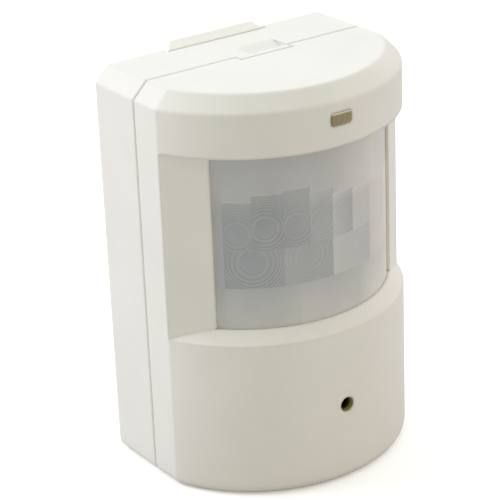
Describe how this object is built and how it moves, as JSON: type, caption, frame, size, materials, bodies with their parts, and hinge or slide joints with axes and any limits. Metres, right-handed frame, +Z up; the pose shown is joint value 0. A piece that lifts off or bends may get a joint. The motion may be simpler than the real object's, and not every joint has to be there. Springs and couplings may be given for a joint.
{
  "type": "motion sensor",
  "caption": "Wall-mounted passive infrared motion sensor with a curved Fresnel lens under a brow, a pinhole camera below, and a cover that hinges open.",
  "frame": {"origin": "on the wall face, in the middle of the four wall screws", "axes": "+X to the right seen from the front, -Y out of the wall into the room, +Z up"},
  "size_m": [0.07, 0.0504, 0.103],
  "materials": {
    "ivory_abs": "satin moulded ivory-white ABS",
    "plate_abs": "satin moulded white ABS, a little whiter than the housing",
    "lens_plastic": "translucent milky polyethylene, finely ribbed",
    "frame_plastic": "moulded ivory ABS, unpolished",
    "light_pipe": "clear smoked acrylic, olive brown",
    "circuit_board": "green solder mask over glass fibre",
    "steel": "zinc plated steel",
    "sensor_steel": "nickel plated can",
    "filter_glass": "dark infrared filter",
    "led_resin": "red tinted clear resin",
    "black_plastic": "moulded black nylon",
    "white_plastic": "moulded white nylon",
    "green_plastic": "moulded green nylon",
    "blue_plastic": "moulded blue nylon",
    "can_aluminium": "drawn aluminium under a dark sleeve",
    "black_metal": "black anodised",
    "bead_glass": "coated optical glass",
    "cable_film": "flat ribbon cable",
    "rubber": "soft black rubber",
    "smoked_plastic": "smoked olive polycarbonate"
  },
  "bodies": {
    "plate": {"wall_plate": "plate_abs"},
    "cover": {"front_cover": "ivory_abs", "fresnel_lens": "lens_plastic", "lens_frame": "frame_plastic", "led_light_pipe": "light_pipe", "pinhole_bezel": "smoked_plastic"},
    "tamper": {"tamper_plunger": "white_plastic"},
    "dial": {"range_dial": "white_plastic"},
    "camera_lens": {"pinhole_lens": "black_metal", "pinhole_glass": "bead_glass"},
    "jumper": {"jumper_cap": "blue_plastic"},
    "housing": {"rear_housing": "ivory_abs", "cable_grommet": "rubber", "main_board": "circuit_board", "board_screws": "steel", "pir_can": "sensor_steel", "pir_window": "filter_glass", "status_led": "led_resin", "tamper_switch": "black_plastic", "alarm_relay": "white_plastic", "terminal_block": "green_plastic", "terminal_screws": "steel", "range_trimmer": "blue_plastic", "controller_chip": "black_plastic", "capacitors": "can_aluminium", "jumper_header": "black_plastic", "camera_bracket": "black_plastic", "bracket_screws": "steel", "camera_screws": "steel", "camera_board": "circuit_board", "image_sensor": "filter_glass", "lens_holder": "black_plastic", "camera_cable": "cable_film", "camera_plug": "white_plastic", "camera_socket": "white_plastic"}
  },
  "joints": [
    {"name": "unhook", "type": "slide", "parent": "plate", "child": "housing", "axis": [0, 0, 1], "range_m": [0, 0.0045]},
    {"name": "cover_hinge", "type": "hinge", "parent": "housing", "child": "cover", "pos_m": [0, -0.0172, -0.0695], "axis": [1, 0, 0], "range_deg": [0, 50]},
    {"name": "tamper_press", "type": "slide", "parent": "housing", "child": "tamper", "axis": [0, -1, 0], "range_m": [0, 0.0015]},
    {"name": "dial_turn", "type": "hinge", "parent": "housing", "child": "dial", "pos_m": [0.017, -0.0127, 0.002], "axis": [0, -1, 0], "range_deg": [-135, 135]},
    {"name": "focus_turn", "type": "hinge", "parent": "housing", "child": "camera_lens", "pos_m": [0, -0.036, -0.04915], "axis": [0, -1, 0], "range_deg": [-90, 90]},
    {"name": "jumper_pull", "type": "slide", "parent": "housing", "child": "jumper", "axis": [0, -1, 0], "range_m": [0, 0.0065]}
  ],
  "couplings": [
    {"joint": "tamper_press", "follows": "cover_hinge", "m_per_rad": 0.0017188}
  ]
}
